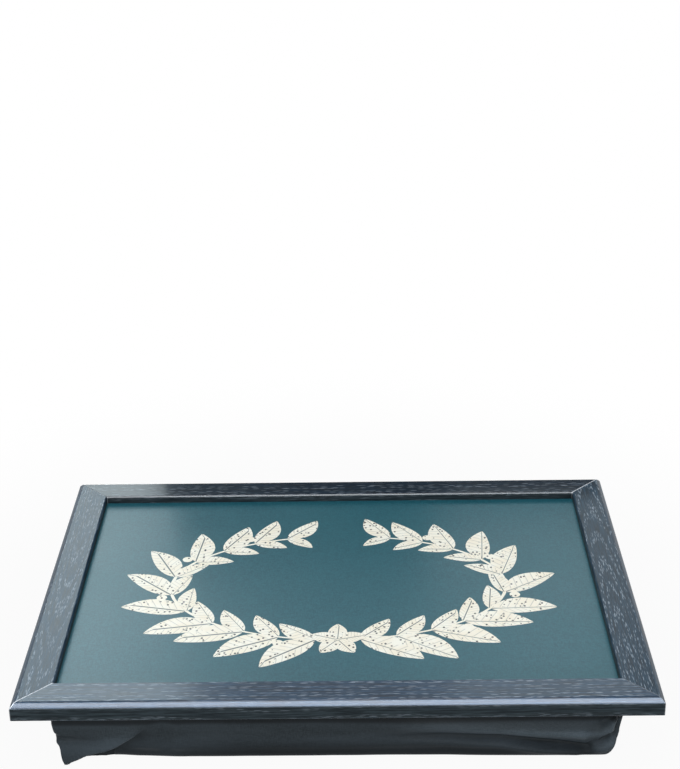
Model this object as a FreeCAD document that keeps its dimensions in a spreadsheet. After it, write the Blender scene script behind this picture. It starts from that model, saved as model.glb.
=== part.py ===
import FreeCAD, Part
import math
import os
import Sketcher

# A lap tray: a printed board in a mitred wooden frame, carried by a bead-filled cushion that
# yields to the knees. The origin is on the floor under the middle of the tray, +X runs along
# the long side, -Y faces the person who uses it, and +Z is up.

# Sizes in millimetres, counts, and shares of a size. All other sizes are worked out from these.
SIZES = {
    # The board is an A3 print on hardboard, and lies loose in the frame
    "board_length": 420,
    "board_width": 297,
    "board_thickness": 3,
    "print_thickness": 0.6,
    "board_clearance": 0.5,
    # The moulding of the four rails
    "rail_width": 28,
    "rail_height": 14,
    "rebate_width": 6,
    "rebate_depth": 7.5,
    "outer_chamfer": 3.6,
    "lip_round": 1.2,
    "foot_round": 0.8,
    # V-nails across each mitre, placed along the back face of the moulding
    "nail_leg": 8,
    "nail_thickness": 0.8,
    "nail_height": 7,
    "outer_nail_share": 0.25,
    "inner_nail_share": 0.6,
    # Flat points that are driven into the rebate and hold the board up
    "point_width": 6,
    "point_bite": 7,
    "point_reach": 8,
    "point_tip": 3,
    "point_thickness": 0.8,
    "long_side_points": 4,
    "short_side_points": 3,
    # Staples that hold the cover's hem in the rebate
    "staple_crown": 10,
    "staple_leg": 6,
    "staple_wire": 0.7,
    "long_side_staples": 9,
    "short_side_staples": 6,
    # The cushion below the frame
    "cushion_drop": 54,
    "cover_thickness": 0.8,
    "hem_clearance": 0.2,
    "hem_corner": 6,
    "gather_depth": 10,
    "waist_corner": 18,
    "base_taper": 3,
    "long_side_draw": 2.5,
    "short_side_draw": 2.5,
    "edge_round": 12,
    # The inner bag and its fill, each a little clear of what is round it
    "liner_thickness": 0.4,
    "liner_shoulder": 8,
    "filling_clearance": 0.3,
    # How far a cut runs past the wood that it cuts
    "overrun": 1,
}

# A sketch numbers the start, the end and the centre of an edge in this order
START, END, CENTRE = range(1, 4)
UP = FreeCAD.Vector(0, 0, 1)
QUARTER_TURN = 90

# Sizes worked out for the whole tray
OPENING_LENGTH = "(sizes.board_length + 2 * sizes.board_clearance)"
OPENING_WIDTH = "(sizes.board_width + 2 * sizes.board_clearance)"
BACK_FACE = "(sizes.rail_width - sizes.rebate_width)"
TRAY_LENGTH = f"({OPENING_LENGTH} + 2 * {BACK_FACE})"
TRAY_WIDTH = f"({OPENING_WIDTH} + 2 * {BACK_FACE})"

# Heights above the underside of the frame
BOARD_LEVEL = "(sizes.rebate_depth - sizes.print_thickness - sizes.board_thickness)"
POINT_LEVEL = f"({BOARD_LEVEL} - sizes.point_thickness)"
HEM_HEIGHT = f"({POINT_LEVEL} - sizes.hem_clearance)"
STAPLE_LEVEL = f"(({HEM_HEIGHT} - sizes.staple_wire) / 2)"

doc = FreeCAD.newDocument("lap_tray")
sheet = doc.addObject("Spreadsheet::Sheet", "sizes")
for row, (alias, number) in enumerate(SIZES.items(), start=1):
    sheet.set(f"A{row}", alias)
    sheet.set(f"B{row}", str(number))
    sheet.setAlias(f"B{row}", alias)
doc.recompute()


def value(expression):
    """The number that an expression on the sheet gives now."""
    return float(sheet.evalExpression(expression))


def new_body(label, x="0", y="0", z="0", turn=0):
    """An empty body, turned about Z and then moved to a place that follows the sheet."""
    body = doc.addObject("PartDesign::Body", label)
    body.Label = label
    body.AllowCompound = True
    body.Placement = FreeCAD.Placement(FreeCAD.Vector(), FreeCAD.Rotation(UP, turn))
    body.setExpression("Placement.Base.x", x)
    body.setExpression("Placement.Base.y", y)
    body.setExpression("Placement.Base.z", z)
    return body


def new_sketch(body, name, role, lift="0"):
    """An empty sketch on one of the body's own planes, lifted along that plane's normal."""
    sketch = body.newObject("Sketcher::SketchObject", name)
    plane = next(item for item in body.Origin.OriginFeatures if item.Role == role)
    sketch.AttachmentSupport = [(plane, "")]
    sketch.MapMode = "FlatFace"
    sketch.setExpression("AttachmentOffset.Base.z", lift)
    return sketch


def bind(sketch, expression, kind, *where):
    """A dimension of the sketch that follows an expression."""
    index = sketch.addConstraint(Sketcher.Constraint(kind, *where, value(expression)))
    sketch.setExpression(f"Constraints[{index}]", expression)


def bind_point(sketch, edge, end, x, y):
    """Fix one point of an edge at a place that follows the sheet."""
    bind(sketch, x, "DistanceX", edge, end)
    bind(sketch, y, "DistanceY", edge, end)


def arc_about(centre, start, end):
    """The anticlockwise arc from start to end."""
    first = math.atan2(start.y - centre.y, start.x - centre.x)
    last = math.atan2(end.y - centre.y, end.x - centre.x)
    if last < first:
        last += math.tau
    circle = Part.Circle(centre, UP, centre.distanceToPoint(start))
    return Part.ArcOfCircle(circle, first, last)


def arc_between(start, end, radius):
    """The anticlockwise arc of this radius, under a half circle, from start to end."""
    chord = end - start
    to_centre = math.sqrt(max(radius**2 - (chord.Length / 2) ** 2, 0))
    left = FreeCAD.Vector(-chord.y, chord.x, 0).normalize()
    return arc_about((start + end) / 2 + left * to_centre, start, end)


def draw_loop(sketch, corners):
    """A closed loop, drawn anticlockwise.

    A corner is its x and its y, reached by a line, or x, y and a radius, reached by an arc.
    """
    points = [FreeCAD.Vector(value(corner[0]), value(corner[1]), 0) for corner in corners]
    edges = []
    for place, corner in enumerate(corners):
        start, end = points[place - 1], points[place]
        if len(corner) == 2:
            edge = sketch.addGeometry(Part.LineSegment(start, end))
        else:
            edge = sketch.addGeometry(arc_between(start, end, value(corner[2])))
            bind(sketch, corner[2], "Radius", edge)
        bind_point(sketch, edge, END, corner[0], corner[1])
        edges.append(edge)
    for place, edge in enumerate(edges):
        sketch.addConstraint(Sketcher.Constraint("Coincident", edges[place - 1], END, edge, START))


def rectangle(x_low, x_high, y_low, y_high):
    """The corners of an upright rectangle."""
    return [(x_low, y_low), (x_high, y_low), (x_high, y_high), (x_low, y_high)]


def pad(body, name, profile, length, side="One side"):
    """Raise a sketch to a solid."""
    solid = body.newObject("PartDesign::Pad", name)
    solid.Profile = profile
    solid.SideType = side
    solid.setExpression("Length", length)
    doc.recompute()
    return solid


def cut(body, name, profile, depth):
    """Cut a sketch into the body, along the sketch's normal."""
    before = body.Tip.Shape.Volume
    pocket = body.newObject("PartDesign::Pocket", name)
    pocket.Profile = profile
    pocket.Reversed = True
    pocket.setExpression("Length", depth)
    doc.recompute()
    if pocket.Shape.Volume >= before:
        raise RuntimeError(f"{name} cuts nothing")
    return pocket


def repeat(body, name, feature, axis, opening, count):
    """Spread copies of a feature evenly along one side of the opening."""
    pattern = body.newObject("PartDesign::LinearPattern", name)
    pattern.Originals = [feature]
    pattern.Direction = (axis, ["H_Axis"])
    pattern.setExpression("Length", f"2 * {row_reach(opening, count)}")
    pattern.setExpression("Occurrences", count)
    body.Tip = pattern
    doc.recompute()
    return pattern


def row_reach(opening, count):
    """How far the outermost member of a row stands from the middle of its side."""
    return f"({opening} * (1 - 1 / {count}) / 2)"


# The four sides of the frame. Each is drawn with X along the rail, Y inwards from its outer face
# and Z up from its underside, then turned to its place.
LONG_SIDE = {
    "length": TRAY_LENGTH,
    "opening": OPENING_LENGTH,
    "points": "sizes.long_side_points",
    "staples": "sizes.long_side_staples",
}
SHORT_SIDE = {
    "length": TRAY_WIDTH,
    "opening": OPENING_WIDTH,
    "points": "sizes.short_side_points",
    "staples": "sizes.short_side_staples",
}
SIDES = {
    "front": (LONG_SIDE, {"y": f"-{TRAY_WIDTH} / 2", "turn": 0}),
    "right": (SHORT_SIDE, {"x": f"{TRAY_LENGTH} / 2", "turn": QUARTER_TURN}),
    "back": (LONG_SIDE, {"y": f"{TRAY_WIDTH} / 2", "turn": 2 * QUARTER_TURN}),
    "left": (SHORT_SIDE, {"x": f"-{TRAY_LENGTH} / 2", "turn": 3 * QUARTER_TURN}),
}

# The moulding's section: a flat back, a rebate, a softened lip and a chamfered outer edge
MOULDING = [
    ("sizes.foot_round", "0", "sizes.foot_round"),
    (BACK_FACE, "0"),
    (BACK_FACE, "sizes.rebate_depth"),
    ("sizes.rail_width", "sizes.rebate_depth"),
    ("sizes.rail_width", "sizes.rail_height - sizes.lip_round"),
    ("sizes.rail_width - sizes.lip_round", "sizes.rail_height", "sizes.lip_round"),
    ("sizes.outer_chamfer", "sizes.rail_height"),
    ("0", "sizes.rail_height - sizes.outer_chamfer"),
    ("0", "sizes.foot_round"),
]


def nail_outline(x_from_corner, y_from_corner, share):
    """A V-nail in plan: its point is on the mitre, and each leg runs along one rail."""
    middle = f"{share} * {BACK_FACE}"
    near = f"({middle} - sizes.nail_thickness / 2)"
    far = f"({middle} + sizes.nail_thickness / 2)"
    tip = f"({middle} + sizes.nail_leg)"
    corners = [(near, near), (tip, near), (tip, far), (far, far), (far, tip), (near, tip)]
    return [(x_from_corner(x), y_from_corner(y)) for x, y in corners]


def nail_outlines(x_sign, y_from_corner, length):
    """Both V-nails of one corner, measured from the corner at this end of a side."""
    shares = ("sizes.outer_nail_share", "sizes.inner_nail_share")

    def x_from_corner(distance):
        return f"{x_sign} * ({length} / 2 - {distance})"

    return [nail_outline(x_from_corner, y_from_corner, share) for share in shares]


def point_outline(side):
    """The first point of a row: a flat strip whose sharp end is in the wood."""
    middle = f"-{row_reach(side['opening'], side['points'])}"
    low = f"({middle} - sizes.point_width / 2)"
    high = f"({middle} + sizes.point_width / 2)"
    sharp = f"({BACK_FACE} - sizes.point_bite)"
    shoulder = f"({sharp} + sizes.point_tip)"
    blunt = f"({BACK_FACE} + sizes.point_reach)"
    return [(middle, sharp), (high, shoulder), (high, blunt), (low, blunt), (low, shoulder)]


def staple_outline(side):
    """The first staple of a row: its crown lies on the hem and its legs are in the wood."""
    middle = f"-{row_reach(side['opening'], side['staples'])}"
    low = f"({middle} - sizes.staple_crown / 2)"
    high = f"({middle} + sizes.staple_crown / 2)"
    hem_face = f"({BACK_FACE} + sizes.hem_clearance + sizes.cover_thickness)"
    crown = f"({hem_face} + sizes.staple_wire)"
    tip = f"({hem_face} - sizes.staple_leg)"
    inner_low = f"({low} + sizes.staple_wire)"
    inner_high = f"({high} - sizes.staple_wire)"
    return [
        (low, tip),
        (inner_low, tip),
        (inner_low, hem_face),
        (inner_high, hem_face),
        (inner_high, tip),
        (high, tip),
        (high, crown),
        (low, crown),
    ]


def mitre_offcut(sign, length):
    """The wedge that the mitre saw takes off one end of a rail."""
    past_end = f"({length} / 2 + sizes.overrun)"
    past_lip = "(sizes.rail_width + sizes.overrun)"
    return [
        (f"{sign} * {past_end}", "-sizes.overrun"),
        (f"{sign} * {past_end}", past_lip),
        (f"{sign} * ({length} / 2 - {past_lip})", past_lip),
    ]


def make_rail(name, side, place):
    """One rail: a length of moulding, mitred, with the seats of its nails, points and staples."""
    label = f"{name}_rail"
    body = new_body(label, z="sizes.cushion_drop", **place)
    section = new_sketch(body, f"{label}_section", "YZ_Plane")
    draw_loop(section, MOULDING)
    pad(body, f"{label}_bar", section, side["length"], side="Symmetric")

    mitres = new_sketch(body, f"{label}_mitres", "XY_Plane")
    nail_slots = new_sketch(body, f"{label}_nail_slots", "XY_Plane")
    for sign in (-1, 1):
        draw_loop(mitres, mitre_offcut(sign, side["length"]))
        for outline in nail_outlines(sign, str, side["length"]):
            draw_loop(nail_slots, outline)
    cut(body, f"{label}_mitre_cut", mitres, "sizes.rail_height + sizes.overrun")
    cut(body, f"{label}_nail_cut", nail_slots, "sizes.nail_height")

    point_slot = new_sketch(body, f"{label}_point_slot", "XY_Plane", POINT_LEVEL)
    draw_loop(point_slot, point_outline(side))
    slot = cut(body, f"{label}_point_cut", point_slot, "sizes.point_thickness")
    repeat(body, f"{label}_point_cuts", slot, point_slot, side["opening"], side["points"])

    leg_holes = new_sketch(body, f"{label}_leg_holes", "XY_Plane", STAPLE_LEVEL)
    draw_loop(leg_holes, staple_outline(side))
    holes = cut(body, f"{label}_leg_cut", leg_holes, "sizes.staple_wire")
    repeat(body, f"{label}_leg_cuts", holes, leg_holes, side["opening"], side["staples"])
    return body


def make_row(label, outline, level, thickness, count):
    """Flat pieces cut to one outline, in a row along each of the four sides, as one group."""
    rows = []
    for name, (side, place) in SIDES.items():
        row_name = f"{name}_{label}"
        body = new_body(row_name, z="sizes.cushion_drop", **place)
        plan = new_sketch(body, f"{row_name}_plan", "XY_Plane", level)
        draw_loop(plan, outline(side))
        piece = pad(body, f"{row_name}_piece", plan, thickness)
        repeat(body, f"{row_name}_pieces", piece, plan, side["opening"], side[count])
        rows.append(body)
    group = doc.addObject("Part::Compound", label)
    group.Label = label
    group.Links = rows
    return group


def make_nails(label):
    """Two V-nails in each corner, driven flush into the back of the frame."""
    body = new_body(label, z="sizes.cushion_drop")
    plan = new_sketch(body, f"{label}_plan", "XY_Plane")
    for y_sign in (-1, 1):

        def y_from_corner(distance):
            return f"{y_sign} * ({TRAY_WIDTH} / 2 - {distance})"

        for x_sign in (-1, 1):
            for outline in nail_outlines(x_sign, y_from_corner, TRAY_LENGTH):
                draw_loop(plan, outline)
    pad(body, f"{label}_solid", plan, "sizes.nail_height")
    return body


def make_sheet(label, level, thickness):
    """A flat sheet of the board's size at a height above the underside of the frame."""
    body = new_body(label, z=f"sizes.cushion_drop + {level}")
    plan = new_sketch(body, f"{label}_plan", "XY_Plane")
    half_length = "sizes.board_length / 2"
    half_width = "sizes.board_width / 2"
    draw_loop(plan, rectangle(f"-{half_length}", half_length, f"-{half_width}", half_width))
    pad(body, f"{label}_solid", plan, thickness)
    return body


# Half the cushion's length and width where the frame holds it, and the arcs that draw in its
# sides lower down: their radii, and how far their centres are from the middle of the cushion
HALF_LENGTH = f"({OPENING_LENGTH} / 2 - sizes.hem_clearance)"
HALF_WIDTH = f"({OPENING_WIDTH} / 2 - sizes.hem_clearance)"
LONG_BOW = f"(({HALF_LENGTH} ^ 2 + sizes.long_side_draw ^ 2) / (2 * sizes.long_side_draw))"
SHORT_BOW = f"(({HALF_WIDTH} ^ 2 + sizes.short_side_draw ^ 2) / (2 * sizes.short_side_draw))"
TO_LONG_BOW = f"({HALF_WIDTH} - sizes.long_side_draw + {LONG_BOW})"
TO_SHORT_BOW = f"({HALF_LENGTH} - sizes.short_side_draw + {SHORT_BOW})"


def draw_hem_outline(sketch, inset):
    """The cushion in plan where the frame holds it: straight sides and small round corners."""
    x = f"({HALF_LENGTH} - {inset})"
    y = f"({HALF_WIDTH} - {inset})"
    corner = f"(sizes.hem_corner - {inset})"
    draw_loop(sketch, [
        (f"{x} - {corner}", f"-{y}"),
        (x, f"-{y} + {corner}", corner),
        (x, f"{y} - {corner}"),
        (f"{x} - {corner}", y, corner),
        (f"-{x} + {corner}", y),
        (f"-{x}", f"{y} - {corner}", corner),
        (f"-{x}", f"-{y} + {corner}"),
        (f"-{x} + {corner}", f"-{y}", corner),
    ])


def corner_centre(corner):
    """The middle of a corner's arc, which touches the arcs of the two sides beside it."""
    across, along = value(TO_SHORT_BOW), value(TO_LONG_BOW)
    from_short = value(SHORT_BOW) + corner
    from_long = value(LONG_BOW) + corner
    span = math.hypot(across, along)
    foot = (from_short**2 - from_long**2 + span**2) / (2 * span)
    rise = math.sqrt(from_short**2 - foot**2)
    x = across - (foot * across + rise * along) / span
    y = (foot * along - rise * across) / span
    return x, y


def draw_waist_outline(sketch, inset):
    """The cushion in plan below the frame: its sides are drawn in between round corners."""
    corner = f"(sizes.waist_corner - {inset})"
    bend = value(corner)
    centre_x, centre_y = corner_centre(value("sizes.waist_corner"))
    ways = ((0, -1), (1, 0), (0, 1), (-1, 0))
    bow_centres = [
        FreeCAD.Vector(x * value(TO_SHORT_BOW), y * value(TO_LONG_BOW), 0) for x, y in ways
    ]
    turn_centres = [
        FreeCAD.Vector((x - y) * centre_x, (y + x) * centre_y, 0) for x, y in ways
    ]
    bows = []
    turns = []
    for place, (x, y) in enumerate(ways):
        bow_centre = bow_centres[place]
        before, after = turn_centres[place - 1], turn_centres[place]
        next_bow = bow_centres[place + 1 - len(ways)]
        start = before + (bow_centre - before).normalize() * bend
        end = after + (bow_centre - after).normalize() * bend
        last = after + (next_bow - after).normalize() * bend
        bow = sketch.addGeometry(arc_about(bow_centre, end, start))
        turn = sketch.addGeometry(arc_about(after, end, last))
        bind(sketch, f"{SHORT_BOW if x else LONG_BOW} + {inset}", "Radius", bow)
        bind_point(sketch, bow, CENTRE, f"{x} * {TO_SHORT_BOW}", f"{y} * {TO_LONG_BOW}")
        bind(sketch, corner, "Radius", turn)
        sketch.addConstraint(Sketcher.Constraint("Tangent", bow, START, turn, START))
        bows.append(bow)
        turns.append(turn)
    for place, bow in enumerate(bows):
        sketch.addConstraint(Sketcher.Constraint("Tangent", turns[place - 1], END, bow, END))


def make_form(label, inset, upper_sections, edge_kind, edge_size):
    """A cushion's closed form, from its upper sections down to an eased edge and a flat base.

    An upper section is the function that draws it, its height above the frame's underside and
    how far it lies inside the cushion's outside.
    """
    body = new_body(label)
    sections = [
        *upper_sections,
        (draw_waist_outline, "-sizes.gather_depth", inset),
        (draw_waist_outline, f"-sizes.cushion_drop + {inset}", f"({inset} + sizes.base_taper)"),
    ]
    plans = []
    for place, (draw, level, section_inset) in enumerate(sections):
        plan = new_sketch(body, f"{label}_plan_{place}", "XY_Plane", f"sizes.cushion_drop + {level}")
        draw(plan, section_inset)
        plans.append(plan)
    loft = body.newObject("PartDesign::AdditiveLoft", f"{label}_loft")
    loft.Profile = plans[0]
    loft.Sections = plans[1:]
    loft.Ruled = True
    doc.recompute()

    base = min(loft.Shape.Faces, key=lambda face: face.CenterOfMass.z)
    rim = [edge.hashCode() for edge in base.Edges]
    names = [
        f"Edge{place}"
        for place, edge in enumerate(loft.Shape.Edges, start=1)
        if edge.hashCode() in rim
    ]
    edge = body.newObject(edge_kind, f"{label}_edge")
    edge.Base = (loft, names)
    largest = "(sizes.waist_corner - sizes.base_taper)"
    edge.setExpression(edge_size, f"min(sizes.edge_round; {largest}) - {inset}")
    doc.recompute()
    return body


def make_cover_form(label, inset, top):
    """The cover's outside or inside: a straight hem, gathered into a drawn-in bag below it."""
    hem = [(draw_hem_outline, top, inset), (draw_hem_outline, "0", inset)]
    return make_form(label, inset, hem, "PartDesign::Fillet", "Radius")


def make_filling_form(label, inset, top):
    """A form hidden in the cover, with sloping shoulders and a sloping lower edge."""
    shoulders = [(draw_waist_outline, top, f"({inset} + sizes.liner_shoulder)")]
    return make_form(label, inset, shoulders, "PartDesign::Chamfer", "Size")


def make_shell(label, outer, hollow):
    """What is left of one solid when another is taken out of it."""
    shell = doc.addObject("Part::Cut", label)
    shell.Label = label
    shell.Base = outer
    shell.Tool = hollow
    doc.recompute()
    return shell


# The frame, the board in it and what holds them together
nodes = [make_rail(name, side, place) for name, (side, place) in SIDES.items()]
nodes.append(make_nails("corner_v_nails"))
nodes.append(make_sheet("tray_board", BOARD_LEVEL, "sizes.board_thickness"))
PRINT_LEVEL = f"({BOARD_LEVEL} + sizes.board_thickness)"
nodes.append(make_sheet("printed_sheet", PRINT_LEVEL, "sizes.print_thickness"))
nodes.append(make_row("board_points", point_outline, POINT_LEVEL, "sizes.point_thickness", "points"))
staples = make_row("hem_staples", staple_outline, STAPLE_LEVEL, "sizes.staple_wire", "staples")
nodes.append(staples)

# The cover is a bag of cloth whose hem stands up inside the rebate
COVER_INSET = "sizes.cover_thickness"
cover_outside = make_cover_form("cover_outside", "0", HEM_HEIGHT)
cover_inside = make_cover_form("cover_inside", COVER_INSET, f"({HEM_HEIGHT} + sizes.overrun)")
cover_bag = make_shell("cover_bag", cover_outside, cover_inside)
nodes.append(make_shell("cushion_cover", cover_bag, staples))

# The inner bag rises to the points under the board, and the beads fill it
LINER_INSET = f"({COVER_INSET} + sizes.filling_clearance)"
HOLLOW_INSET = f"({LINER_INSET} + sizes.liner_thickness)"
FILL_INSET = f"({HOLLOW_INSET} + sizes.filling_clearance)"
LINER_TOP = f"({POINT_LEVEL} - sizes.filling_clearance)"
HOLLOW_TOP = f"({LINER_TOP} - sizes.liner_thickness)"
FILL_TOP = f"({HOLLOW_TOP} - sizes.filling_clearance)"
liner_outside = make_filling_form("liner_outside", LINER_INSET, LINER_TOP)
liner_inside = make_filling_form("liner_inside", HOLLOW_INSET, HOLLOW_TOP)
nodes.append(make_shell("bead_bag", liner_outside, liner_inside))
nodes.append(make_filling_form("bead_fill", FILL_INSET, FILL_TOP))
doc.recompute()

faults = [item.Name for item in doc.Objects if {"Invalid", "Error"} & set(item.State)]
faults += [node.Label for node in nodes if node.Shape.isNull() or not node.Shape.isValid()]
if faults:
    raise RuntimeError(f"these failed to build: {', '.join(faults)}")

os.makedirs("parts", exist_ok=True)
for node in nodes:
    node.Shape.exportStep(os.path.join("parts", f"{node.Label}.step"))
    box = node.Shape.BoundBox
    print(
        f"{node.Label}: {len(node.Shape.Solids)} solids, {node.Shape.Volume:.0f} mm3, "
        f"{box.XLength:.1f} x {box.YLength:.1f} x {box.ZLength:.1f} mm"
    )
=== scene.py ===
# %% [markdown]
# # A lap tray on a bead cushion
# The real tray is a sealed print in a mitred wooden frame, standing on a slack cloth cushion that is tucked
# into the frame's rebate. The joinery is already made as solids, so this lesson loads them as a fixed frame
# and gives each surface the shape and finish that the eye sees: stained grain, a satin print, soft cloth.

# %% Load the solids
import math

import bmesh
import bpy
import numpy as np
from mathutils import Matrix, Vector


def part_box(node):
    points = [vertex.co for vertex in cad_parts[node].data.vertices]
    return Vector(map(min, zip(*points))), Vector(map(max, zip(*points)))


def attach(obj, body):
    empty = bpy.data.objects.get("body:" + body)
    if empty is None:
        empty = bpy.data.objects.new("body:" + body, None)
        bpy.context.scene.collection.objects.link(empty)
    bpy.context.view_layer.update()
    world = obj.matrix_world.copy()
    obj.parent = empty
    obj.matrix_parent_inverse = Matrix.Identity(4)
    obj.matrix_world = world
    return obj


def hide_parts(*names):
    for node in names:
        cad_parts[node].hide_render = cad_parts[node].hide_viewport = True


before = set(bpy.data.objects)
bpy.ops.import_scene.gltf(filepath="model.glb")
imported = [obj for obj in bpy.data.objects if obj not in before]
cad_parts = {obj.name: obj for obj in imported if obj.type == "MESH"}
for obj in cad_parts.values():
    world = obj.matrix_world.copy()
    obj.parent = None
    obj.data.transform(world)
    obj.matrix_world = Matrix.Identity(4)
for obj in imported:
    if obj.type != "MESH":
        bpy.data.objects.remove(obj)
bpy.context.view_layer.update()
scene = bpy.context.scene

# %% [markdown]
# ## Two helpers
# Every new piece ends as a mesh at the origin, with its place in its points, so that a pattern on Object
# coordinates stays where it is. A finish is a small graph of nodes. Writing the graph's sums node by node
# is long, so one class wraps a socket and lets Python's own operators add the Math nodes.

# %% From a bmesh to a piece
def piece_from(name, shape):
    mesh = bpy.data.meshes.new(name)
    shape.to_mesh(mesh)
    shape.free()
    piece = bpy.data.objects.new(name, mesh)
    scene.collection.objects.link(piece)
    return piece


# %% Sums on sockets
class Tone:
    """One socket of a finish. A sum on it adds a Math node, and add() makes any other node."""

    def __init__(self, tree, socket=None):
        self.tree = tree
        self.socket = socket

    def add(self, kind, settings={}, sockets={}, out=0):
        node = self.tree.nodes.new(kind)
        for name, setting in settings.items():
            setattr(node, name, setting)
        for key, given in sockets.items():
            if isinstance(given, Tone):
                self.tree.links.new(given.socket, node.inputs[key])
            else:
                node.inputs[key].default_value = given
        return Tone(self.tree, node.outputs[out])

    def out(self, name):
        return Tone(self.tree, self.socket.node.outputs[name])

    def axes(self):
        x = self.add("ShaderNodeSeparateXYZ", {}, {0: self}, out="X")
        return x, x.out("Y"), x.out("Z")

    def math(self, operation, first, *others):
        return self.add("ShaderNodeMath", {"operation": operation}, dict(enumerate((first, *others))))

    def __add__(self, other):
        return self.math("ADD", self, other)

    def __mul__(self, other):
        return self.math("MULTIPLY", self, other)

    def __sub__(self, other):
        return self.math("SUBTRACT", self, other)

    def __rsub__(self, other):
        return self.math("SUBTRACT", other, self)

    def __truediv__(self, other):
        return self.math("DIVIDE", self, other)

    def __gt__(self, other):
        return self.math("GREATER_THAN", self, other)

    def __abs__(self):
        return self.math("ABSOLUTE", self)

    __radd__ = __add__

    def ease(self, low, high):
        """0 below low, 1 above high, and a smooth rise between them."""
        settings = {"interpolation_type": "SMOOTHSTEP"}
        return self.add("ShaderNodeMapRange", settings, {0: self, 1: low, 2: high})

    def lift(self, least):
        """This value, squeezed to run from least to 1."""
        return self * (1 - least) + least

    def tint(self, under, over):
        """The colour under where this value is 0, and over where it is 1."""
        return self.add("ShaderNodeMix", {"data_type": "RGBA"}, {0: self, 6: under, 7: over}, out=2)

    def stretch(self, scale, shift=(0, 0, 0)):
        """This place, with its axes scaled and then shifted."""
        return self.add("ShaderNodeMapping", {}, {"Vector": self, "Scale": scale, "Location": shift})

    def noise(self, detail=2.0, rough=0.5):
        """Soft noise over this place."""
        sockets = {"Vector": self, "Scale": 1.0, "Detail": detail, "Roughness": rough}
        return self.add("ShaderNodeTexNoise", {}, sockets)

    def cells(self):
        """The distance to the nearest of many dots that are strewn over this place."""
        return self.add("ShaderNodeTexVoronoi", {}, {"Vector": self, "Scale": 1.0, "Randomness": 0.9})

    def bump(self, strength, depth):
        """The normal of a surface that rises and falls with this value."""
        sockets = {"Strength": strength, "Distance": depth, "Height": self}
        return self.add("ShaderNodeBump", {}, sockets, out="Normal")


# %% A new finish
def new_finish(name, **constants):
    """A finish, the place of each point on the piece that wears it, and its shader."""
    finish = bpy.data.materials.new(name)
    finish.use_nodes = True
    shader = finish.node_tree.nodes["Principled BSDF"]
    for socket, value in constants.items():
        shader.inputs[socket.replace("_", " ")].default_value = value
    return finish, Tone(finish.node_tree).add("ShaderNodeTexCoord", out="Object"), shader


def feed(shader, **sockets):
    for socket, tone in sockets.items():
        tone.tree.links.new(tone.socket, shader.inputs[socket.replace("_", " ")])


def wear(piece, finish):
    piece.data.materials.clear()
    piece.data.materials.append(finish)
    print(piece.name, "wears", finish.name)


def level(brightness):
    return (brightness, brightness, brightness, 1)


# %% [markdown]
# ## The studio
# The tray was pictured on seamless white paper. A white floor that is lit until it clips would flood the
# tray with light, so the floor is a grey card, and only rays that come from the camera or from a shiny
# surface see it white. It keeps a faint shadow near the tray and fades to pure white further off.

# %% The world
AIR_LIGHT = 0.06


def seen_ray(tone):
    ray = tone.add("ShaderNodeLightPath", out="Is Camera Ray")
    return tone.math("MAXIMUM", ray, ray.out("Is Glossy Ray"))


world = bpy.data.worlds.new("studio_air")
world.use_nodes = True
scene.world = world
air = Tone(world.node_tree)
lit = air.add("ShaderNodeBackground", {}, {"Color": level(1), "Strength": AIR_LIGHT})
white = air.add("ShaderNodeBackground", {}, {"Color": level(1), "Strength": 1.0})
both = air.add("ShaderNodeMixShader", {}, {0: seen_ray(air), 1: lit, 2: white})
feed(world.node_tree.nodes["World Output"], Surface=both)
print("the air lights at", AIR_LIGHT)

# %% The floor
FLOOR_SIZE, FLOOR_DROP = 6.0, 0.0002
PAPER = 0.15
SHADOW_WHITE, SHADOW_REACH = 0.95, (0.2, 0.6)


def flat_sheet(name, size, height):
    sheet = bmesh.new()
    bmesh.ops.create_grid(sheet, x_segments=1, y_segments=1, size=size)
    bmesh.ops.translate(sheet, verts=sheet.verts, vec=(0, 0, height))
    return piece_from(name, sheet)


floor = flat_sheet("white_paper", FLOOR_SIZE, -FLOOR_DROP)
paper, place, shader = new_finish("white_paper", Base_Color=level(PAPER), Roughness=0.9)
away = place.add("ShaderNodeVectorMath", {"operation": "LENGTH"}, {0: place}, out="Value")
whiter = seen_ray(place) * away.ease(*SHADOW_REACH).lift(SHADOW_WHITE)
glow = place.add("ShaderNodeEmission", {}, {"Color": level(1), "Strength": 1.0})
grey = Tone(paper.node_tree, shader.outputs[0])
sheet = place.add("ShaderNodeMixShader", {}, {0: whiter, 1: grey, 2: glow})
feed(paper.node_tree.nodes["Material Output"], Surface=sheet)
wear(floor, paper)

# %% [markdown]
# ## Light and camera
# Soft boxes give the light. A long cool strip in front draws the bright line along the outer chamfer, a
# higher one the thin line along the far lip, and a box behind to the left is the pale sheen on that side, with
# a weaker one to the right. A warm box above brings out the cream of the print. A low box behind the camera
# reaches under the rail to the cushion, and thin strips near the floor do the same for the other sides.
# A dark card stands behind the middle, out of view, and keeps the sheen off the centre of the print. A lower
# part of it runs on to the right and keeps the far rail dark.

# %% Soft boxes
PALE_BLUE, COOL_WHITE = (0.80, 0.96, 1.0), (0.92, 0.96, 1.0)
STRIP_AWAY, STRIP_HEIGHT = 2.3, 0.036


def soft_box(name, place, aim, size, power, colour):
    lamp = bpy.data.lights.new(name, "AREA")
    lamp.color = colour
    lamp.shape = "RECTANGLE"
    lamp.size, lamp.size_y = size
    lamp.energy = power
    box = bpy.data.objects.new(name, lamp)
    scene.collection.objects.link(box)
    box.location = place
    box.rotation_euler = (Vector(aim) - Vector(place)).to_track_quat("-Z", "Y").to_euler()
    box.visible_camera = False
    print(name, "gives", power, "W")


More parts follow.
